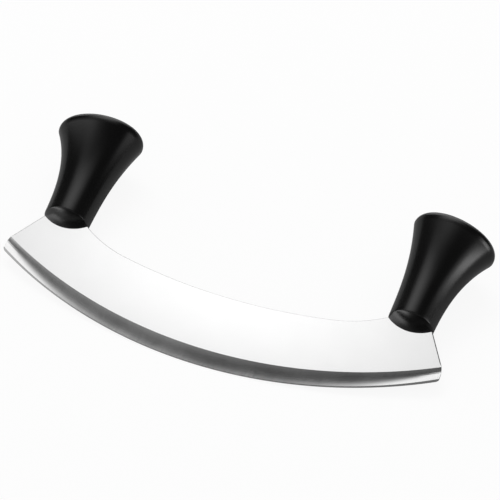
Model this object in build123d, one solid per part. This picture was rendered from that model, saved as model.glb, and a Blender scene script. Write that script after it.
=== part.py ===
from build123d import *
from math import acos, asin, atan2, cos, degrees, hypot, radians, sin, sqrt, tan
import os

# Mezzaluna: one curved rocking blade with two flared moulded handles, millimetres.
# The knife is drawn in its own plane: X along the blade, Z from the edge to the
# handles, Y through the blade. It is then laid on its side, as it rests on a table.

# Blade outline
half_length = 120.0            # middle of the blade to each end
edge_radius = 237.7            # cutting edge
blade_depth = 43.4             # edge to spine at the middle
spine_radius = 290.0
throat_run = 25.5              # end of the spine's long arc to the handle's neck
end_height = 6.9               # upright side of each end
end_lean = 30.9                # degrees, line from there to the neck, from the upright
neck_lap = 0.6                 # the blade's corners end this far inside the neck
shoulder_round = 14.0
tip_round = 3.0
edge_break = 0.3               # deburred edges of the blank

# Blade section
blade_thickness = 2.3
grind_height = 9.5             # ground face, edge to grind line at the middle
grind_spread = 4.7             # grind line's radius over the cutting edge's
grind_hollow = 0.06            # hollow of the ground face below a flat one
edge_land = 0.7                # thickness left behind the honed edge
hone_height = 0.7              # honed strip along the edge
hone_land = 0.06               # thickness left at the edge

# Handle, measured from the plane of its lower rim
handle_inset = 24.2            # blade's end to the rim centre
splay = 1.2                    # degrees, each handle leans outwards
neck_radius = 12.3             # at the rim
taper = 1.6                    # steady widening from rim to brow
flare = 9.5                    # extra widening, most of it near the brow
flare_power = 2.6
flare_height = 56.7            # rim plane to the brow, where the handle is widest
brow_bend = 3.0                # the brow's centre lies this far outwards
brow_tilt = 7.5                # degrees, the brow plane leans outwards
brow_depth_share = 0.81        # the brow is an oval: depth as a share of its width
crown_height = 7.8             # brow to the top of the dome
crown_round = 4.3
crown_dome = 4.6               # rise of the dome over the brow's width
dome_depth = 5.2               # rounded underside, below the rim plane
rim_round = 1.2
flare_bands = 16               # narrow bands keep the facets few
band_crowding = 0.8            # under 1, the bands get shorter towards the brow
round_bands = 5
dome_bands = 8
rim_bands = 3

# Tang, hidden in the handle
tang_width = 14.0
tang_length = 37.4
tang_round = 4.0
key_radius = 3.0               # hole that the moulded handle fills
key_height = 23.4              # rim plane to that hole
moulding_gap = 0.05            # between the steel and the moulded handle

cut_overrun = 6.0              # how far a cutting shape runs past what it cuts

os.makedirs("parts", exist_ok=True)


def arc_height(x, radius, low):
    """Height at x of a circular arc whose lowest point is at height low."""
    return low + radius - sqrt(radius**2 - x**2)


def blade_point(x, z):
    """A point of the blade plane."""
    return Vector(x, 0, z)


def rim_level():
    """Height of the rim centre, set by where the end's leaning line comes in under the rim."""
    lean = radians(splay)
    corner = neck_radius - neck_lap
    leaning_run = handle_inset - corner * cos(lean)
    end_top = arc_height(half_length, edge_radius, 0) + end_height
    return end_top + leaning_run / tan(radians(end_lean)) + corner * sin(lean)


def handle_point(across, up):
    """A point of the blade plane, from the right handle's rim centre and lean."""
    lean = radians(splay)
    x = half_length - handle_inset + across * cos(lean) + up * sin(lean)
    z = rim_level() - across * sin(lean) + up * cos(lean)
    return blade_point(x, z)


def mirrored(point):
    """The same point of the left half."""
    return Vector(-point.X, point.Y, point.Z)


def cap_radius(reach, rise):
    """Radius of the sphere whose cap has this half width and rise."""
    return (reach**2 + rise**2) / (2 * rise)


def right_outline():
    """Corners from the right end of the spine's long arc round to the right tip."""
    end_foot = arc_height(half_length, edge_radius, 0)
    return [
        handle_point(neck_lap - neck_radius, 0),
        handle_point(-tang_width / 2, 0),
        handle_point(-tang_width / 2, tang_length),
        handle_point(tang_width / 2, tang_length),
        handle_point(tang_width / 2, 0),
        handle_point(neck_radius - neck_lap, 0),
        blade_point(half_length, end_foot + end_height),
        blade_point(half_length, end_foot),
    ]


def near(shape, point):
    """The vertex of a shape that is nearest to a point."""
    return shape.vertices().sort_by_distance(point)[0]


def blade_outline():
    """Flat outline of the stamped blank, with both tangs and their key holes."""
    right = right_outline()
    left = [mirrored(point) for point in right]
    half_run = half_length - handle_inset - neck_radius - throat_run
    spine_end = blade_point(half_run, arc_height(half_run, spine_radius, blade_depth))
    slope = Vector(sqrt(spine_radius**2 - half_run**2), 0, half_run)
    spine = ThreePointArc(mirrored(spine_end), blade_point(0, blade_depth), spine_end)
    throat = TangentArc(spine_end, right[0], tangent=slope)
    edge = ThreePointArc(left[-1], blade_point(0, 0), right[-1])
    lines = [spine, throat, throat.mirror(Plane.YZ), edge]
    for corners in (right, left):
        lines += [Line(a, b) for a, b in zip(corners, corners[1:])]
    blank = make_face(lines)
    for corners in (right, left):
        for corner, radius in ((2, tang_round), (3, tang_round), (6, shoulder_round), (7, tip_round)):
            blank = fillet(near(blank, corners[corner]), radius)
    key = handle_point(0, key_height)
    for centre in (key, mirrored(key)):
        blank -= Plane(centre, x_dir=(1, 0, 0), z_dir=(0, -1, 0)) * Circle(key_radius)
    return blank


def below_arc(radius, low, y):
    """Flat region under an arc of the given radius, in the plane at depth y."""
    reach = half_length + cut_overrun
    high = arc_height(reach, radius, low)
    floor = -cut_overrun
    arc = ThreePointArc((-reach, y, high), (0, y, low), (reach, y, high))
    sides = Polyline((reach, y, high), (reach, y, floor), (-reach, y, floor), (-reach, y, high))
    return make_face([arc, *sides.edges()])


def ground_face(side, height, radius, thick, thin, hollow):
    """What a grinding wheel takes off one side, from the grind line to the edge."""
    middle_y = (thick + thin) / 4 - hollow
    middle_radius = (radius + edge_radius) / 2
    sections = [
        below_arc(radius, height, side * thick / 2),
        below_arc(middle_radius, height / 2, side * middle_y),
        below_arc(edge_radius, 0, side * thin / 2),
    ]
    return loft(sections)


def honed_thickness():
    """Blade thickness at the top of the honed strip."""
    return edge_land + (blade_thickness - edge_land) * hone_height / grind_height


def is_deburred(centre):
    """Whether an edge with this centre is a bare corner of the blank, above the ground face."""
    on_a_face = abs(abs(centre.Y) - blade_thickness / 2) < edge_break
    grind_line = arc_height(centre.X, edge_radius + grind_spread, grind_height)
    return on_a_face and grind_line < centre.Z < rim_level()


def make_blade():
    blank = extrude(blade_outline(), blade_thickness / 2, both=True, dir=(0, 1, 0))
    blank = chamfer([edge for edge in blank.edges() if is_deburred(edge.center())], edge_break)
    grind_radius = edge_radius + grind_spread
    for side in (1, -1):
        blank -= ground_face(side, grind_height, grind_radius, blade_thickness, edge_land, grind_hollow)
    for side in (1, -1):
        blank -= ground_face(side, hone_height, edge_radius, honed_thickness(), hone_land, 0)
    return blank


def brow_plane(share):
    """Plane of the handle's section at a share of its flare height."""
    up = share * flare_height
    bend = brow_bend * share**2
    lean = radians(splay + brow_tilt * share**2)
    origin = handle_point(bend, up)
    return Plane(origin, x_dir=(cos(lean), 0, -sin(lean)), z_dir=(sin(lean), 0, cos(lean)))


def brow_width():
    """Half width of the handle at the brow."""
    return neck_radius + taper + flare


def flare_section(share):
    """Oval section of the handle: round at the rim, drawn in at the front and back above."""
    width = neck_radius + taper * share + flare * share**flare_power
    depth_share = 1 - (1 - brow_depth_share) * share
    return brow_plane(share) * Ellipse(width, width * depth_share)


def underside():
    """Rounded rim and domed underside, below the lowest section of the flare."""
    inner = neck_radius - rim_round
    ball = (inner**2 + dome_depth**2 - rim_round**2) / (2 * (dome_depth - rim_round))
    sweep = acos(inner / (ball - rim_round))
    rings = []
    for band in range(rim_bands + 1):
        angle = sweep * band / rim_bands
        ring = Circle(inner + rim_round * cos(angle))
        rings.append(brow_plane(0) * Pos(0, 0, -rim_round * sin(angle)) * ring)
    rim_depth = rim_round * sin(sweep)
    cap = Pos(0, 0, ball - dome_depth) * Sphere(ball)
    below = Pos(0, 0, -rim_depth - ball / 2) * Box(2 * ball, 2 * ball, ball)
    return loft(rings, ruled=True) + brow_plane(0).location * (cap & below)


def crown_section(up, inset, share=1):
    """The brow's oval drawn in all round, or a share of that, at a height over the brow plane."""
    width = brow_width() - inset
    depth = brow_width() * brow_depth_share - inset
    return brow_plane(1) * Pos(0, 0, up) * Ellipse(width * share, depth * share)


def crown():
    """Rounded top: up the side, round the shoulder, and in over the low dome."""
    dome = cap_radius(brow_width(), crown_dome)
    inner = brow_width() - crown_round
    round_centre = crown_height - dome + sqrt((dome - crown_round)**2 - inner**2)
    sweep = acos(inner / (dome - crown_round))
    sections = [crown_section(0, 0)]
    for band in range(round_bands + 1):
        angle = sweep * band / round_bands
        inset = crown_round * (1 - cos(angle))
        sections.append(crown_section(round_centre + crown_round * sin(angle), inset))
    for band in range(dome_bands, 0, -1):
        share = band / (dome_bands + 1)
        fall = dome - sqrt(dome**2 - ((brow_width() - inset) * share)**2)
        sections.append(crown_section(crown_height - fall, inset, share))
    return loft(sections, ruled=True)


def tang_pocket():
    """Room for the blade in the handle, with the peg that fills the tang's key hole."""
    thick = blade_thickness + 2 * moulding_gap
    half = tang_width / 2 + moulding_gap
    top = tang_length + moulding_gap
    pocket = make_face(Polyline(*(handle_point(a, u) for a, u in (
        (-half, 0), (-half, top), (half, top), (half, 0), (-half, 0),
    ))))
    for a in (-half, half):
        pocket = fillet(near(pocket, handle_point(a, top)), tang_round)
    key = Plane(handle_point(0, key_height), x_dir=(1, 0, 0), z_dir=(0, -1, 0))
    pocket -= key * Circle(key_radius - moulding_gap)
    room = extrude(pocket, thick / 2, both=True, dir=(0, 1, 0))
    slot_height = dome_depth + cut_overrun + moulding_gap
    slot = Box(2 * (neck_radius + cut_overrun), thick, slot_height)
    lowered = Pos(0, 0, moulding_gap - slot_height / 2)
    return room + brow_plane(0).location * lowered * slot


def make_handle():
    """The right handle."""
    shares = [(band / flare_bands)**band_crowding for band in range(flare_bands + 1)]
    flare_solid = loft([flare_section(share) for share in shares], ruled=True)
    return underside() + flare_solid + crown() - tang_pocket()


def lay_down():
    """Turns the upright knife onto its back, resting on both rims and the honed edge."""
    rim_y = neck_radius - rim_round - honed_thickness() / 2
    rim_z = rim_level() - hone_height
    tilt = atan2(rim_y, rim_z) + asin(rim_round / hypot(rim_y, rim_z))
    return Rot(X=degrees(tilt) - 90)


blade = make_blade()
right_handle = make_handle()
left_handle = mirror(right_handle, about=Plane.YZ)

nodes = {"blade": blade, "left_handle": left_handle, "right_handle": right_handle}
laid = {name: lay_down() * solid for name, solid in nodes.items()}
boxes = [solid.bounding_box() for solid in laid.values()]
low_y = min(box.min.Y for box in boxes)
high_y = max(box.max.Y for box in boxes)
table = min(box.min.Z for box in boxes)
for name, solid in laid.items():
    box = solid.bounding_box()
    print(name, "volume", round(solid.volume), "mm3, lowest", round(box.min.Z - table, 3), "mm over the table")
    export_step(Pos(0, -(low_y + high_y) / 2, -table) * solid, f"parts/{name}.step")
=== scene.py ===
# %% [markdown]
# A mezzaluna, dressed in Blender
#
# The knife is one curved blade with a moulded handle on each end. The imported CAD
# model comes in first, as a fixed frame: it says where each piece is and how large.
# Everything after that gives the pieces the surfaces, the light and the view of the
# photograph.

# %% Load the frame
import bpy
import bmesh
from math import acos, asin, atan2, cos, degrees, pi, radians, sin, sqrt, tan
from mathutils import Matrix, Vector


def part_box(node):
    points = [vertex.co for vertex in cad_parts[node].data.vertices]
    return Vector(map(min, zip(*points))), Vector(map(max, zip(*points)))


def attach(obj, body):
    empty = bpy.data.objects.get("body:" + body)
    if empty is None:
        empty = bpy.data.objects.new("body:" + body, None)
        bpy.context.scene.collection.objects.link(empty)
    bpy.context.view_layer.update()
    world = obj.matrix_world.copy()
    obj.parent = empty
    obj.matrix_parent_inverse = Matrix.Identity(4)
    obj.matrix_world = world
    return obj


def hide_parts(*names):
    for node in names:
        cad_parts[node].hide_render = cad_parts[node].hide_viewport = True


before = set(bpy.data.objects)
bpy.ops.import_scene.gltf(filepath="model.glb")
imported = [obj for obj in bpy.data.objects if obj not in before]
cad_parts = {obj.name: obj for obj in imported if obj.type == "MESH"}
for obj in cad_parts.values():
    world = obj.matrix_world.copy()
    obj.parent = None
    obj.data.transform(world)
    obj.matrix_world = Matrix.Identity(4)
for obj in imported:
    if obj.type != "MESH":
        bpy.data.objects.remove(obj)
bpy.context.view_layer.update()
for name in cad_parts:
    low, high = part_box(name)
    print(name, "lies between", [round(c, 4) for c in low], "and", [round(c, 4) for c in high])

# %% [markdown]
# Sizes
#
# The shapes below are drawn again in the knife's own upright frame, in millimetres:
# X along the blade, Z from the cutting edge to the handles, Y through the blade. The
# sizes in the next two cells are those of the CAD model, so that each new piece lies
# where its solid lies.

# %% Sizes of the blade
half_length = 120.0
edge_radius = 237.7
blade_depth = 43.4
spine_radius = 290.0
throat_run = 25.5
end_height = 6.9
end_lean = radians(30.9)
neck_lap = 0.6
shoulder_round = 14.0
tip_round = 3.0
edge_break = 0.3
blade_thickness = 2.3
grind_height = 9.5
grind_spread = 4.7
edge_land = 0.7
hone_height = 0.7
hone_land = 0.06
tang_width = 14.0
tang_length = 37.4
key_radius = 3.0
key_height = 23.4
print("a blade", 2 * half_length, "mm long and", blade_thickness, "mm thick")

# %% Sizes of the handles
handle_inset = 24.2
splay = radians(1.2)
neck_radius = 12.3
taper = 1.6
flare = 9.5
flare_power = 2.6
flare_height = 56.7
brow_bend = 3.0
brow_tilt = radians(7.5)
brow_depth_share = 0.81
crown_height = 7.8
crown_round = 4.3
crown_dome = 4.6
dome_depth = 5.2
rim_round = 1.2
print("handles", dome_depth + flare_height + crown_height, "mm tall")

# %% [markdown]
# Sizes of the grind
#
# The solid's grind is plain, and the tones in the photograph ask for a little more. The
# strip is hollower, the wheel has left more steel where the edge turns up towards the
# ends, a band beside the edge runs parallel to the flat there, and the corners of the
# ends are worn rounder. All of this moves the surface by less than 0.3 mm, but polished
# steel shows it clearly, as a bright wedge at each end. So only the skin has these sizes.

# %% Sizes that only the skin has
skin_land = 0.45
end_land = 0.9
grind_hollow = 0.135
end_hollow = 0.05
end_level = 0.5
end_break = 0.3
print("the land grows from", skin_land, "to", skin_land + end_land, "mm at the ends")

# %% [markdown]
# Laying the knife down
#
# The photograph shows the knife on its side, resting on both handle rims and on the
# cutting edge. One matrix does what gravity does: it tips the upright knife onto its
# back and sets it on the floor. Every piece goes through it, so they stay together.

# %% The matrix that lays the knife down
MM = 0.001


def arc_height(x, radius, low):
    """Height at x of an arc whose lowest point is at height low."""
    return low + radius - sqrt(radius**2 - x**2)


end_foot = arc_height(half_length, edge_radius, 0)
rim_corner = neck_radius - neck_lap
rim_level = (end_foot + end_height + rim_corner * sin(splay)
             + (handle_inset - rim_corner * cos(splay)) / tan(end_lean))
hone_thickness = edge_land + (blade_thickness - edge_land) * hone_height / grind_height
rest_y = neck_radius - rim_round - hone_thickness / 2
rest_z = rim_level - hone_height
tilt = atan2(rest_y, rest_z) + asin(rim_round / sqrt(rest_y**2 + rest_z**2))
edge_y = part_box("blade")[0].y + hone_land / 2 * sin(tilt) * MM
rim_z = ((neck_radius - rim_round) * cos(tilt) - rim_level * sin(tilt) + rim_round) * MM
laid = (Matrix.Translation((0, edge_y, rim_z)) @ Matrix.Rotation(tilt - pi / 2, 4, "X")
        @ Matrix.Scale(MM, 4))
print("the knife leans", round(degrees(tilt), 3), "degrees off the floor")


# %% [markdown]
# From a drawn shape to a piece
#
# Each piece is drawn as a bmesh, Blender's own workbench for points and faces, and only
# turned into a mesh at the end. A skin of flat faces never meets a smooth solid to the
# last digit, so it is then nudged by less than 0.1 mm, and shrunk by a hair if need be,
# until it lies inside the box of the solid that it dresses. The print says how far off
# it was on each side.

# %% Turn a drawn shape into a piece
weld = 0.002


def add_object(name, data):
    """Puts a new object with this data into the scene."""
    made = bpy.data.objects.new(name, data)
    bpy.context.scene.collection.objects.link(made)
    return made


def mesh_of(bm, name, materials):
    """Turns a bmesh into a mesh and gives it its materials."""
    mesh = bpy.data.meshes.new(name)
    bm.to_mesh(mesh)
    bm.free()
    for material in materials:
        mesh.materials.append(material)
    return mesh


def finish_piece(bm, name, materials):
    """Lays a shape drawn upright down, settles it in its solid's box and dresses it."""
    bmesh.ops.remove_doubles(bm, verts=bm.verts, dist=weld)
    bmesh.ops.recalc_face_normals(bm, faces=bm.faces)
    bmesh.ops.transform(bm, matrix=laid, verts=bm.verts)
    low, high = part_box(name)
    own_low = Vector([min(v.co[i] for v in bm.verts) for i in range(3)])
    own_high = Vector([max(v.co[i] for v in bm.verts) for i in range(3)])
    fit = min(1, min((high - low)[i] / (own_high - own_low)[i] for i in range(3)))
    settle = (Matrix.Translation((low + high) / 2) @ Matrix.Scale(fit, 4)
              @ Matrix.Translation((own_low + own_high) / -2))
    bmesh.ops.transform(bm, matrix=settle, verts=bm.verts)
    piece = add_object(name + "_skin", mesh_of(bm, name + "_skin", materials))
    print(name, "was off its solid by", [round(c / MM, 3) for c in own_low - low], "and",
          [round(c / MM, 3) for c in own_high - high], "mm,", len(piece.data.polygons), "faces")
    return piece


# %% [markdown]
# Shader sums
#
# A material is a small program made of nodes. Wired by hand it gets long, so one class
# stands for a socket and lets Python's own signs make the Math nodes: `1 - mask * 2`
# reads as what it does. Every other node comes from `Finish.node`, which takes the
# node's type, then its settings, then what goes into its sockets.

# %% A socket that can be added and multiplied
class Wire:
    """One output socket of a node, on which sums make Math nodes."""

    def __init__(self, finish, socket):
        self.finish = finish
        self.socket = socket

    def math(self, operation, left, right):
        settings = {"operation": operation}
        return self.finish.node("ShaderNodeMath", settings, {0: left, 1: right})

    def __add__(self, other):
        return self.math("ADD", self, other)

    __radd__ = __add__

    def __sub__(self, other):
        return self.math("SUBTRACT", self, other)

    def __rsub__(self, other):
        return self.math("SUBTRACT", other, self)

    def __mul__(self, other):
        return self.math("MULTIPLY", self, other)

    __rmul__ = __mul__


# %% Greys
def grey(level):
    """An even grey, from 0 for black to 1 for white."""
    return (level, level, level, 1)


white = grey(1.0)


# %% A material or world as a recipe
class Finish:
    """The node tree of one material or of the world."""

    def __init__(self, owner):
        owner.use_nodes = True
        self.owner = owner
        self.tree = owner.node_tree
        self.tree.nodes.clear()

    def node(self, kind, settings, inputs, output=0):
        """Adds a node: its settings first, then the values and links of its sockets."""
        made = self.tree.nodes.new(kind)
        for key, value in settings.items():
            setattr(made, key, value)
        for key, value in inputs.items():
            if isinstance(value, Wire):
                self.tree.links.new(value.socket, made.inputs[key])
            else:
                made.inputs[key].default_value = value
        return Wire(self, made.outputs[output])

    def axes(self, vector):
        """The three numbers of a vector, each on a wire of its own."""
        first = self.node("ShaderNodeSeparateXYZ", {}, {"Vector": vector})
        return [Wire(self, socket) for socket in first.socket.node.outputs]

    def step(self, value, start, end):
        """Rises smoothly from 0 at start to 1 at end."""
        settings = {"interpolation_type": "SMOOTHSTEP"}
        inputs = {"Value": value, "From Min": start, "From Max": end}
        return self.node("ShaderNodeMapRange", settings, inputs)

    def fall(self, value, start, end):
        """Falls smoothly from 1 at start to 0 at end."""
        return 1 - self.step(value, start, end)

    def mix(self, factor, first, second):
        """Mixes two colours."""
        settings = {"data_type": "RGBA"}
        inputs = {0: factor, 6: first, 7: second}
        return self.node("ShaderNodeMix", settings, inputs, output=2)

    def noise(self, vector, scale, detail):
        """Cloudy noise between 0 and 1."""
        inputs = {"Vector": vector, "Scale": scale, "Detail": detail}
        return self.node("ShaderNodeTexNoise", {}, inputs)

    def ray(self, kind):
        """1 for light rays of this kind and 0 for all others."""
        return self.node("ShaderNodeLightPath", {}, {}, output=f"Is {kind} Ray")

    def glow(self, level, kind="ShaderNodeEmission"):
        """White light of this strength."""
        return self.node(kind, {}, {"Color": white, "Strength": level})

    def blend(self, share, first, second):
        """The first shader where the share is 0, and the second where it is 1."""
        return self.node("ShaderNodeMixShader", {}, {0: share, 1: first, 2: second})

    def close(self, shader, kind="ShaderNodeOutputMaterial"):
        """Wires a shader to the output."""
        end = self.tree.nodes.new(kind)
        self.tree.links.new(shader.socket, end.inputs["Surface"])
        return self.owner


# %% [markdown]
# Steel
#
# The flat of the blade is fine-ground stainless steel: almost a mirror, softened by
# scratches too small to see, with a very faint cloudiness. On the ground strip beside
# the edge the scratches run across it, from the wheel, and are coarse enough to streak
# its reflections. The honed bevel and the cut edges have a darker grey than the flat,
# which is painted shade that draws the dark lines along the edge and round the outline;
# the cut edges are also duller, from their own rougher finish.
# Metal has hardly any colour of its own under the reflections, so each steel is one
# grey on a metal. Over the surface that grey hardly changes; what changes is the
# roughness, and a bump too slight to see as such.

# %% Steel of the flats, the ground strip and the cut edges
def steel(name, level, roughness, spread, stretch, relief):
    """Ground steel whose grain is stretched along or across the blade."""
    cloud_scale = 0.06
    cloud_range = (0.35, 0.65)
    cloud_depth = 0.02
    finish = Finish(bpy.data.materials.new(name))
    place = finish.node("ShaderNodeUVMap", {"uv_map": "grain"}, {})
    scaled = finish.node("ShaderNodeMapping", {}, {"Vector": place, "Scale": stretch})
    grain = finish.noise(scaled, scale=1.0, detail=2.0)
    cloud = finish.noise(place, scale=cloud_scale, detail=3.0)
    pale = finish.step(cloud, *cloud_range)
    colour = finish.mix(pale, grey(level - cloud_depth), grey(level))
    rough = roughness + spread * (grain - 0.5) + spread * (cloud - 0.5)
    bump = finish.node("ShaderNodeBump", {}, {
        "Strength": 1.0, "Distance": relief, "Height": grain,
    })
    shader = finish.node("ShaderNodeBsdfPrincipled", {}, {
        "Base Color": colour, "Metallic": 1.0, "Roughness": rough, "Normal": bump,
    })
    return finish.close(shader)


flat_steel = steel("steel_flat", level=0.74, roughness=0.17, spread=0.04,
                   stretch=(0.05, 6.0, 1.0), relief=0.0000002)
ground_steel = steel("steel_ground", level=0.78, roughness=0.15, spread=0.10,
                     stretch=(2.0, 0.12, 1.0), relief=0.000002)
# The honed steel's darker grey is painted shade: it draws the dark line along the cutting edge.
honed_steel_painted_dark = steel("steel_honed_painted_dark", level=0.40, roughness=0.18, spread=0.03,
                    stretch=(14.0, 0.3, 1.0), relief=0.0000001)
# The cut steel is duller in its own right; its darker grey is painted shade that draws the thin
# line round the outline.
cut_steel_painted_dark = steel("steel_cut_painted_dark", level=0.40, roughness=0.36, spread=0.06,
                  stretch=(0.6, 3.0, 1.0), relief=0.000001)
blade_steels = [flat_steel, ground_steel, honed_steel_painted_dark, cut_steel_painted_dark]
FLAT, GROUND, HONED, CUT = range(len(blade_steels))
print("steels:", [material.name for material in blade_steels])


# %% [markdown]
# The blade's outline
#
# The blank is stamped from sheet. Its outline is arcs and straight lines: the cutting
# edge, a small round tip, a short upright side, a large soft shoulder, a straight line
# that leans in under the handle, the tang, and the spine. Only the right half is
# worked out; the left half is its mirror image.

# %% Helpers for the outline
def handle_point(across, up):
    """A point of the blade's plane, from the right rim's centre."""
    return Vector((
        half_length - handle_inset + across * cos(splay) + up * sin(splay),
        rim_level - across * sin(splay) + up * cos(splay),
    ))


def sweep(centre, radius, start, end, count):
    """Points on an arc, both ends among them, angles from the X direction."""
    angles = [start + (end - start) * i / count for i in range(count + 1)]
    return [centre + radius * Vector((cos(a), sin(a))) for a in angles]


def rounded(before, corner, after, radius, count):
    """A corner between two straight lines, rounded."""
    a = (before - corner).normalized()
    b = (after - corner).normalized()
    half = acos(a.dot(b)) / 2
    centre = corner + (a + b).normalized() * radius / sin(half)
    first = corner + a * radius / tan(half)
    last = corner + b * radius / tan(half)
    start = atan2(*(first - centre).yx)
    turn = (atan2(*(last - centre).yx) - start + pi) % (2 * pi) - pi
    return sweep(centre, radius, start, start + turn, count)


print("the right rim's centre lies at", [round(c, 2) for c in handle_point(0, 0)])

# %% Where the lines and arcs of the outline end
half_run = half_length - handle_inset - neck_radius - throat_run
spine_end = Vector((half_run, arc_height(half_run, spine_radius, blade_depth)))
throat_end = handle_point(neck_lap - neck_radius, 0)
lean_start = handle_point(neck_radius - neck_lap, 0)
end_top = Vector((half_length, end_foot + end_height))
slope = asin(half_run / spine_radius)
throat = throat_end - spine_end
throat_normal = Vector((-sin(slope), cos(slope)))
throat_radius = throat.length_squared / (2 * throat.dot(throat_normal))
throat_centre = spine_end + throat_normal * throat_radius
tip_x = half_length - tip_round
tip_centre = Vector((tip_x, edge_radius - sqrt((edge_radius - tip_round)**2 - tip_x**2)))
print("throat radius", round(throat_radius, 1), "mm, rim at", round(rim_level, 2), "mm")

# %% The outline from the middle of the spine round to the tip
spine_steps = 24
spine = [Vector((x, arc_height(x, spine_radius, blade_depth)))
         for x in [half_run * i / spine_steps for i in range(spine_steps + 1)]]
toe = throat_end - throat_centre
throat_line = sweep(throat_centre, throat_radius, slope - pi / 2, atan2(toe.y, toe.x), count=14)
half_tang = tang_width / 2
tang = [handle_point(across, up) for across, up in (
    (-half_tang, 0), (-half_tang, tang_length), (half_tang, tang_length), (half_tang, 0))]
shoulder = rounded(lean_start, end_top, Vector((half_length, 0)), shoulder_round, count=16)
tip_angle = atan2(tip_centre.y - edge_radius, tip_centre.x)
tip = sweep(tip_centre, tip_round, 0, tip_angle, count=10)
upper = spine[:-1] + throat_line + tang + [lean_start] + shoulder
print(len(upper), "points above,", len(tip), "round the tip")


# %% [markdown]
# The ground strip
#
# The bevel is hollow ground: a wheel has taken a shallow curve out of each side, down
# to a thin land, and a second, steeper bevel is honed onto that. A grid of columns
# carries this, one column every few millimetres along the edge. Each column runs from
# the outline up to the grind line, and the thickness comes from one formula. The honed
# bevel keeps the slope of its stone, so it gets wider where the land is thicker.

# %% Thickness of the blade at any point of the strip
hone_slope = (hone_thickness - hone_land) / hone_height
hair = 0.001


def toward_end(x, power):
    """Grows from 0 in the middle of the blade to 1 at its ends, later for a higher power."""
    return (abs(x) / half_length)**power


def edge_line(x):
    """Height of the cutting edge."""
    return arc_height(x, edge_radius, 0)


def grind_line(x):
    """Height of the line where the flat ends and the grind begins."""
    return arc_height(x, edge_radius + grind_spread, grind_height)


def land_at(x):
    """Thickness that the grind leaves at the edge, more towards both ends."""
    return skin_land + end_land * toward_end(x, 3)


def hone_top(x):
    """How far the honed bevel reaches up from the edge."""
    land = land_at(x)
    return (land - hone_land) / (hone_slope - (blade_thickness - land) / grind_height)


def half_thickness(x, z):
    """Half the blade's thickness: honed, then level near the ends, then hollow."""
    up = z - edge_line(x)
    if up < hone_top(x) - hair:
        return (hone_land + hone_slope * max(0, up)) / 2
    level = end_level * toward_end(x, 5)
    share = up / (grind_line(x) - edge_line(x))
    share = min(1, max(0, (share - level) / (1 - level)))
    land = land_at(x)
    hollow = grind_hollow + end_hollow * toward_end(x, 4)
    bowl = 4 * share * (1 - share)
    return (land + (blade_thickness - land) * share) / 2 - hollow * bowl


print("honed", round(hone_top(0), 2), "mm high in the middle and",
      round(hone_top(half_length), 2), "mm at the ends")


# %% Where the columns stand
def height_on(points, x):
    """Height at x on a line of points that runs steadily in x."""
    for a, b in zip(points, points[1:]):
        if min(a.x, b.x) <= x <= max(a.x, b.x) and a.x != b.x:
            return a.y + (b.y - a.y) * (x - a.x) / (b.x - a.x)
    return points[-1].y if abs(x - points[-1].x) < abs(x - points[0].x) else points[0].y


end_line = [lean_start] + shoulder
meet_low, meet_high = 110.0, half_length
halvings = 50
for _ in range(halvings):
    meet = (meet_low + meet_high) / 2
    if height_on(end_line, meet) > grind_line(meet):
        meet_low = meet
    else:
        meet_high = meet
half_columns = 56
columns = [tip[-1].x * i / half_columns for i in range(half_columns + 1)]
columns = sorted(set(round(x, 6) for x in columns + [p.x for p in tip] + [meet]))
columns = [-x for x in columns[:0:-1]] + columns
print(len(columns), "columns; the grind line leaves the blade at", round(meet, 2), "mm")


# %% One side of the ground strip
strip_rows = 8


def column_heights(x):
    """Heights of one column: outline, honed line, then evenly up to the grind line."""
    x = abs(x)
    low = edge_line(x) if x <= tip[-1].x else height_on(tip, x)
    high = grind_line(x) if x <= meet else height_on(end_line, x)
    if x >= half_length:
        low = tip[0].y
        high = shoulder[-1].y
    hone = max(low, edge_line(x) + hone_top(x))
    above = [hone + (high - hone) * k / strip_rows for k in range(1, strip_rows + 1)]
    return [low, min(hone, high)] + above


def lay_grain(face, grain):
    """Tells the shader where a face lies on the blade, in millimetres."""
    for loop in face.loops:
        loop[grain].uv = (loop.vert.co.x, loop.vert.co.z)


def grind_side(bm, side, grain):
    """Faces of the honed and the ground strip on one side."""
    rows = []
    for x in columns:
        heights = column_heights(x)
        rows.append([bm.verts.new((x, side * half_thickness(x, z), z)) for z in heights])
    for left, right in zip(rows, rows[1:]):
        for k in range(len(left) - 1):
            face = bm.faces.new([left[k], right[k], right[k + 1], left[k + 1]])
            face.material_index = HONED if k == 0 else GROUND
            lay_grain(face, grain)
    return rows


print(len(column_heights(0)), "points in a column")

# %% [markdown]
# The flats and the cut edge
# Each flat is one sheet of triangles inside the outline, with the tang's key hole left
# out. Round the outline a narrow chamfer stands for the deburred corner. It is only
# 0.3 mm wide, and 0.6 mm at the two ends, but it is what draws the thin line round the
# blade, so it is modelled; its steel's darker grey is painted shade that deepens the
# line. It fades out where the grind begins, and the tangs inside the handles have none.

# %% Outline loops, sharp and drawn in
fade_run = 2.0
worn_from = 98.0
worn_run = 6.0


def chamfered(points):
    """The outline drawn in by the chamfer, except on the tangs and at the strip."""
    inner = []
    for i, p in enumerate(points):
        before = points[max(i - 1, 0)]
        after = points[min(i + 1, len(points) - 1)]
        run = (after - before).normalized() if i else Vector((1, 0))
        fade = min(1, (p - points[-1]).length / fade_run)
        worn = min(1, max(0, (abs(p.x) - worn_from) / worn_run))
        width = 0 if p in tang else (edge_break + end_break * worn) * fade
        inner.append(p + Vector((run.y, -run.x)) * width)
    return inner


def both_halves(points):
    """From the left end over the spine to the right end."""
    return [Vector((-p.x, p.y)) for p in points[:0:-1]] + list(points)


upper_cut = [p for p in upper if abs(p.x) < meet or p.y > grind_line(meet)]
upper_cut.append(Vector((meet, grind_line(meet))))
sharp_line = both_halves(upper_cut)
inner_line = both_halves(chamfered(upper_cut))
key_ring = sweep(handle_point(0, key_height), key_radius, 0, 2 * pi, count=24)[:-1]
print(len(sharp_line), "points from end to end over the spine")


# %% A flat
half_sheet = blade_thickness / 2


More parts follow.
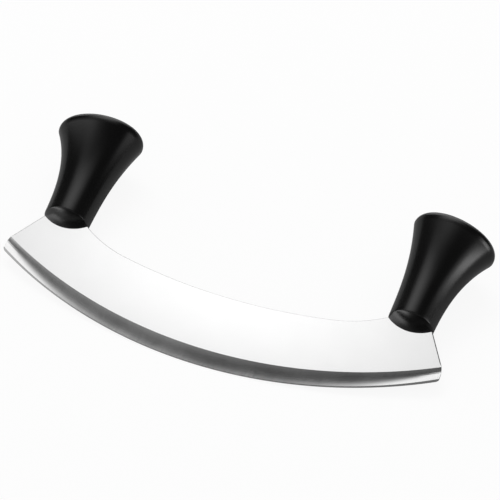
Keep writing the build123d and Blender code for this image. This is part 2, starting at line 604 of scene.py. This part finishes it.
def flat_side(bm, side, grain):
    """One flat of the blade, above the grind line."""
    outline = [(x, grind_line(x)) for x in columns if abs(x) < meet - hair]
    outline += [tuple(p) for p in inner_line[::-1]]
    holes = [[(sign * p.x, p.y) for p in key_ring] for sign in (1, -1)]
    edges = []
    for line in [outline] + holes:
        verts = [bm.verts.new((x, side * half_sheet, z)) for x, z in line]
        edges += [bm.edges.new((a, b)) for a, b in zip(verts, verts[1:] + verts[:1])]
    made = bmesh.ops.triangle_fill(bm, edges=edges, use_beauty=True, use_dissolve=False)
    for face in (f for f in made["geom"] if isinstance(f, bmesh.types.BMFace)):
        face.material_index = FLAT
        lay_grain(face, grain)


# %% Chamfer and walls of one side
def band(bm, first, second, grain, index):
    """Quads between two lines of points of the same length."""
    one = [bm.verts.new(p) for p in first]
    two = [bm.verts.new(p) for p in second]
    for k in range(len(one) - 1):
        face = bm.faces.new([one[k], one[k + 1], two[k + 1], two[k]])
        face.material_index = index
        lay_grain(face, grain)


def wall(bm, line, grain, index):
    """A band from a line of points straight in to the middle of the sheet."""
    band(bm, line, [(x, 0, z) for x, _, z in line], grain, index)


def rim_side(bm, side, rows, grain):
    """The chamfer, and the walls of the outline, the two ends and the key holes."""
    inner = [(p.x, side * half_sheet, p.y) for p in inner_line]
    outer = [(p.x, side * (half_sheet - (p - drawn_in).length), p.y)
             for p, drawn_in in zip(sharp_line, inner_line)]
    band(bm, inner, outer, grain, CUT)
    wall(bm, outer, grain, CUT)
    wall(bm, [tuple(row[0].co) for row in rows], grain, HONED)
    for sign in (-1, 1):
        near_end = [row for x, row in zip(columns, rows) if sign * x > meet - hair]
        near_end = sorted(near_end, key=lambda row: abs(row[0].co.x))
        wall(bm, [tuple(row[-1].co) for row in near_end], grain, CUT)
        wall(bm, [tuple(v.co) for v in near_end[-1]], grain, CUT)
        hole = [(sign * p.x, side * half_sheet, p.y) for p in key_ring + key_ring[:1]]
        wall(bm, hole, grain, CUT)


# %% Put the blade together
bm = bmesh.new()
grain = bm.loops.layers.uv.new("grain")
for side in (-1, 1):
    rows = grind_side(bm, side, grain)
    flat_side(bm, side, grain)
    rim_side(bm, side, rows, grain)
blade = finish_piece(bm, "blade", blade_steels)

# %% Smooth along the grind, sharp across its lines
sharp_angle = radians(2.5)
mesh = blade.data
for polygon in mesh.polygons:
    polygon.use_smooth = True
mesh.set_sharp_from_angle(angle=sharp_angle)
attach(blade, "root")
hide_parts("blade")
print("edges sharper than", round(degrees(sharp_angle), 1), "degrees stay sharp")

# %% [markdown]
# Black plastic
#
# The handles are moulded in one go round the tangs, from a hard black plastic with a
# satin finish. It is dark enough that almost all that one sees is the reflection of
# the studio. A fine moulded texture spreads each reflection a little, and breaks it up
# very slightly.

# %% Satin black moulding
def moulded_plastic():
    """Hard black plastic with a fine texture from its mould."""
    roughness = 0.23
    spread = 0.05
    relief = 0.000018
    finish = Finish(bpy.data.materials.new("black_moulding"))
    place = finish.node("ShaderNodeTexCoord", {}, {}, output="Object")
    texture = finish.noise(place, scale=2600.0, detail=2.0)
    cloud = finish.noise(place, scale=60.0, detail=3.0)
    rough = roughness + spread * (cloud - 0.5) + spread * (texture - 0.5)
    colour = finish.mix(cloud, grey(0.0010), grey(0.0018))
    bump = finish.node("ShaderNodeBump", {}, {
        "Strength": 1.0, "Distance": relief, "Height": texture,
    })
    shader = finish.node("ShaderNodeBsdfPrincipled", {}, {
        "Base Color": colour, "Roughness": rough, "Normal": bump,
    })
    return finish.close(shader)


black_moulding = moulded_plastic()
print("plastic:", black_moulding.name)


# %% [markdown]
# The handles
#
# A handle is a stack of rings. At the rim they are round, and towards the brow they
# grow wider, get oval and lean outwards. Above the brow the crown closes over in a soft
# shoulder and a low dome. Rings joined by quads give a clean surface that shades
# smoothly, and each ring is one line of numbers.

# %% One ring of the right handle
around = 96


def ring_frame(share):
    """The plane of a section, at a share of the flare's height."""
    lean = splay + brow_tilt * share**2
    origin = handle_point(brow_bend * share**2, share * flare_height)
    turn = Matrix.Rotation(lean, 4, "Y")
    return Matrix.Translation((origin.x, 0, origin.y)) @ turn


def ring(share, up, width, depth):
    """Points of an oval, at a height over its plane."""
    place = ring_frame(share)
    turns = [2 * pi * i / around for i in range(around)]
    return [place @ Vector((width * cos(t), depth * sin(t), up)) for t in turns]


print("the handle leans", round(degrees(splay + brow_tilt), 1), "degrees at the brow")

# %% Rings of the underside and the rim
inner_rim = neck_radius - rim_round
ball = (inner_rim**2 + dome_depth**2 - rim_round**2) / (2 * (dome_depth - rim_round))
rim_sweep = acos(inner_rim / (ball - rim_round))
dome_sweep = pi / 2 - rim_sweep
dome_rings = 10
rim_rings = 6
rings = []
for i in range(1, dome_rings + 1):
    angle = dome_sweep * i / dome_rings
    radius = ball * sin(angle)
    rings.append(ring(0, ball - dome_depth - ball * cos(angle), radius, radius))
for i in range(rim_rings - 1, -1, -1):
    angle = rim_sweep * i / rim_rings
    radius = inner_rim + rim_round * cos(angle)
    rings.append(ring(0, -rim_round * sin(angle), radius, radius))
print(len(rings), "rings in the underside and rim")

# %% Rings of the flare
flare_rings = 28
for i in range(1, flare_rings + 1):
    share = i / flare_rings
    width = neck_radius + taper * share + flare * share**flare_power
    depth = width * (1 - (1 - brow_depth_share) * share)
    rings.append(ring(share, 0, width, depth))
print("brow", round(2 * width, 1), "by", round(2 * depth, 1), "mm")

# %% Rings of the crown
brow_width = neck_radius + taper + flare
brow_depth = brow_width * brow_depth_share
crown_ball = (brow_width**2 + crown_dome**2) / (2 * crown_dome)
inner_crown = brow_width - crown_round
crown_sweep = acos(inner_crown / (crown_ball - crown_round))
round_level = crown_height - crown_ball + sqrt((crown_ball - crown_round)**2 - inner_crown**2)
round_rings = 12
crown_rings = 10
for i in range(1, round_rings + 1):
    angle = crown_sweep * i / round_rings
    inset = crown_round * (1 - cos(angle))
    up = round_level + crown_round * sin(angle)
    rings.append(ring(1, up, brow_width - inset, brow_depth - inset))
for i in range(crown_rings - 1, 0, -1):
    share = i / crown_rings
    width = (brow_width - inset) * share
    depth = (brow_depth - inset) * share
    up = crown_height - crown_ball + sqrt(crown_ball**2 - width**2)
    rings.append(ring(1, up, width, depth))
print(len(rings), "rings in a handle")


# %% [markdown]
# One moulding for each hand
#
# The left handle is the right one's mirror image, so the same rings are joined twice.
# The photograph was cut out and lightened so far that its steel shows no mirror image
# of the handles. Object visibility does the same here: `visible_glossy` off keeps them
# out of every reflection.

# %% Join the rings
def make_handle(name, sign):
    """Joins the rings into a handle, for the right hand (1) or the left (-1)."""
    bm = bmesh.new()
    loops = [[bm.verts.new((sign * p.x, p.y, p.z)) for p in points] for points in rings]
    for low_ring, high_ring in zip(loops, loops[1:]):
        for i in range(around):
            j = (i + 1) % around
            bm.faces.new([low_ring[i], low_ring[j], high_ring[j], high_ring[i]])
    poles = [ring(0, -dome_depth, 0, 0)[0], ring(1, crown_height, 0, 0)[0]]
    for loop, pole in zip((loops[0], loops[-1]), poles):
        centre = bm.verts.new((sign * pole.x, pole.y, pole.z))
        for i in range(around):
            bm.faces.new([loop[i], loop[(i + 1) % around], centre])
    for face in bm.faces:
        face.smooth = True
    handle = finish_piece(bm, name, [black_moulding])
    handle.visible_glossy = False
    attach(handle, "root")
    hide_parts(name)


make_handle("right_handle", 1)
make_handle("left_handle", -1)

# %% [markdown]
# Floor
#
# The knife was cut out onto white, so the floor has to come out white and still take a
# soft shadow. The floor is part paper and part light: what is seen of it, straight or
# through something clear, is mostly a plain white glow, and the rest is lit paper,
# which keeps the shadow. Reflections show a darker floor, as in the photograph: darkest
# in front on the right, and plain lit paper at the left end, where the blade's tip
# shines. That darker floor is painted shade: for gloss alone, a dim glow is mixed into
# the paper.

# %% White floor
def white_floor():
    """Paper that looks white to the camera, with painted shade where reflections see it."""
    paper_level = 0.85
    plain_share = 0.91
    dark_share = 0.62
    darker_share = 0.3
    dark_level = 0.03
    finish = Finish(bpy.data.materials.new("floor_paper"))
    x, y, _ = finish.axes(finish.node("ShaderNodeTexCoord", {}, {}, output="Object"))
    front_right = finish.step(x, -0.1, 0.1) * finish.fall(y, -0.06, 0.0)
    left_end = finish.fall(x, -0.13, -0.09) * finish.fall(y, -0.03, 0.03)
    # Painted shade that only reflections see: a dim glow, darkest in front on the right, none
    # at the left end.
    painted_shade = dark_share + darker_share * front_right - dark_share * left_end
    paper = finish.node("ShaderNodeBsdfDiffuse", {}, {"Color": grey(paper_level)})
    shaded = finish.blend(finish.ray("Glossy") * painted_shade, paper, finish.glow(dark_level))
    plain = plain_share * finish.ray("Camera") + plain_share * finish.ray("Transmission")
    return finish.close(finish.blend(plain, shaded, finish.glow(1.0)))


floor_reach = 6.0
floor_drop = 0.0002
bm = bmesh.new()
bmesh.ops.create_grid(bm, x_segments=1, y_segments=1, size=floor_reach)
floor = add_object("floor", mesh_of(bm, "floor", [white_floor()]))
floor.location.z = -floor_drop
print("floor laid,", 2 * floor_reach, "m wide")


# %% [markdown]
# Studio
#
# Polished steel and black plastic show the room more than themselves. In the photograph
# the flat of the blade reflects a big white light behind and above it, the ground strip
# reflects a dark gap in the ceiling, and each handle shows one broad soft stripe and one
# narrow one. So the world has three jobs: plain white for the camera, an even light for
# matt surfaces, and for gloss a dark room with soft lights in it. A direction in the
# room is three numbers from -1 to 1: X to the right, Y to the back, Z up. Each light is
# a level and the directions between which it fades in or out.

# %% World
def studio():
    """White for the camera, even light for matt surfaces, a lit room for gloss."""
    world = bpy.data.worlds.new("studio")
    bpy.context.scene.world = world
    finish = Finish(world)
    step, fall = finish.step, finish.fall
    x, y, z = finish.axes(finish.node("ShaderNodeTexCoord", {}, {}, output="Generated"))
    front = fall(y, -0.45, -0.20)
    overhead = fall(y, -0.45, -0.25) * step(z, 0.50, 0.65)
    left_wall = fall(y, -0.02, 0.12) * fall(x, -0.55, 0.25) * (1 - overhead)
    low_window = front * fall(x, -0.55, -0.15) * fall(z, 0.15, 0.35)
    high_window = front * fall(x, -0.70, -0.45) * step(z, 0.15, 0.35) * fall(z, 0.45, 0.65)
    window_side = fall(y, -0.20, -0.05) * step(y, -0.5, -0.3) * fall(x, -0.45, 0.05)
    back_wall = step(y, 0.55, 0.80) * fall(x, -0.10, 0.45) * fall(z, 0.40, 0.60)
    left_ceiling = fall(x, -0.28, -0.20) * step(z, 0.75, 0.90)
    room = (0.05 + 0.40 * left_wall + 0.32 * overhead + 0.07 * left_ceiling
            + 3.1 * low_window + 1.3 * high_window + 0.7 * window_side + 1.3 * back_wall)
    even = finish.glow(0.65, "ShaderNodeBackground")
    lit_room = finish.glow(room, "ShaderNodeBackground")
    plain = finish.glow(1.0, "ShaderNodeBackground")
    unseen = finish.blend(finish.ray("Glossy"), even, lit_room)
    finish.close(finish.blend(finish.ray("Camera"), unseen, plain), "ShaderNodeOutputWorld")
    return world


print("world:", studio().name)


# %% [markdown]
# Softboxes
#
# The lights close to the knife are glowing cards, because a reflection in curved steel
# depends on how near its light is, which the world can't show. The key card lies flat,
# high up and behind: the flat of the blade mirrors it, and its soft front edge turns the
# ground strip from light to dark. Two upright cards at the right light that side of the
# handles and the right end of the strip. Only gloss sees the cards, so they can be
# shaped for their reflections without a change to the shadows.

# %% Softboxes
def softbox(name, corner, across, up, level, fades):
    """A glowing card that only gloss sees; it fades out towards each of its four sides."""
    near_u, far_u, near_v, far_v = fades
    finish = Finish(bpy.data.materials.new(name))
    u, v, _ = finish.axes(finish.node("ShaderNodeUVMap", {"uv_map": "spread"}, {}))
    spread = (finish.step(u, 0, near_u) * finish.fall(u, 1 - far_u, 1)
              * finish.step(v, 0, near_v) * finish.fall(v, 1 - far_v, 1))
    clear = finish.node("ShaderNodeBsdfTransparent", {}, {"Color": white})
    glowing = finish.close(finish.blend(spread, clear, finish.glow(level)))
    bm = bmesh.new()
    shares = bm.loops.layers.uv.new("spread")
    corners = [(0, 0), (1, 0), (1, 1), (0, 1)]
    places = [Vector(corner) + Vector(across) * a + Vector(up) * b for a, b in corners]
    face = bm.faces.new([bm.verts.new(p) for p in places])
    for loop, share in zip(face.loops, corners):
        loop[shares].uv = share
    card = add_object(name, mesh_of(bm, name, [glowing]))
    card.visible_camera = False
    card.visible_diffuse = False
    card.visible_shadow = False
    print("hung", name, "at level", level)


softbox("key_softbox", corner=(-0.85, 0.11, 0.80), across=(1.21, 0, 0), up=(0, 2.0, 0),
        level=1.6, fades=(0.57, 0.48, 0.08, 0.3))
softbox("side_softbox", corner=(0.45, -0.12, 0.0), across=(0, 0.32, 0), up=(0, 0, 0.37),
        level=0.8, fades=(0.25, 0.25, 0.05, 0.3))
softbox("low_softbox", corner=(0.28, 0.003, 0.0), across=(0, 0.062, 0), up=(0, 0, 0.14),
        level=4.1, fades=(0.4, 0.4, 0.3, 0.3))

# %% [markdown]
# Lamp
#
# One area lamp, behind and to the left, lights the paper and gives the knife its faint
# shadow. It is hidden from gloss, so it adds no spot of its own to the steel.

# %% The lamp behind the knife
lamp = bpy.data.lights.new("back_light", "AREA")
lamp.shape = "RECTANGLE"
lamp.size = 1.2
lamp.size_y = 0.8
lamp.energy = 12
holder = add_object("back_light", lamp)
holder.location = (-0.5, 0.9, 1.4)
holder.rotation_euler = (-holder.location).to_track_quat("-Z", "Y").to_euler()
holder.visible_glossy = False
print("lamp of", lamp.energy, "W aimed at the middle of the knife")

# %% [markdown]
# Camera
#
# The camera's place was found by fitting the knife's known sizes to its outline in the
# photograph: a long lens from 1.33 m away, 18 degrees round to the right, 43.5 degrees
# up and held at a slight roll.

# %% Camera
azimuth = radians(18.14)
elevation = radians(43.49)
roll = radians(3.88)
distance = 1.331
aim = Vector((0.0107, -0.01425, 0.0422))
back = Vector((
    sin(azimuth) * cos(elevation), -cos(azimuth) * cos(elevation), sin(elevation)))
lens = bpy.data.cameras.new("view")
lens.sensor_width = 36
lens.lens = 189.1
lens.clip_end = 50
camera = add_object("view", lens)
facing = back.to_track_quat("Z", "Y").to_matrix().to_4x4()
camera.matrix_world = (Matrix.Translation(aim + back * distance) @ facing
                       @ Matrix.Rotation(roll, 4, "Z"))
bpy.context.scene.camera = camera
print("right", [round(c, 4) for c in camera.matrix_world.col[0][:3]],
      "up", [round(c, 4) for c in camera.matrix_world.col[1][:3]])

# %% Finish
bpy.context.scene.view_settings.view_transform = "Standard"
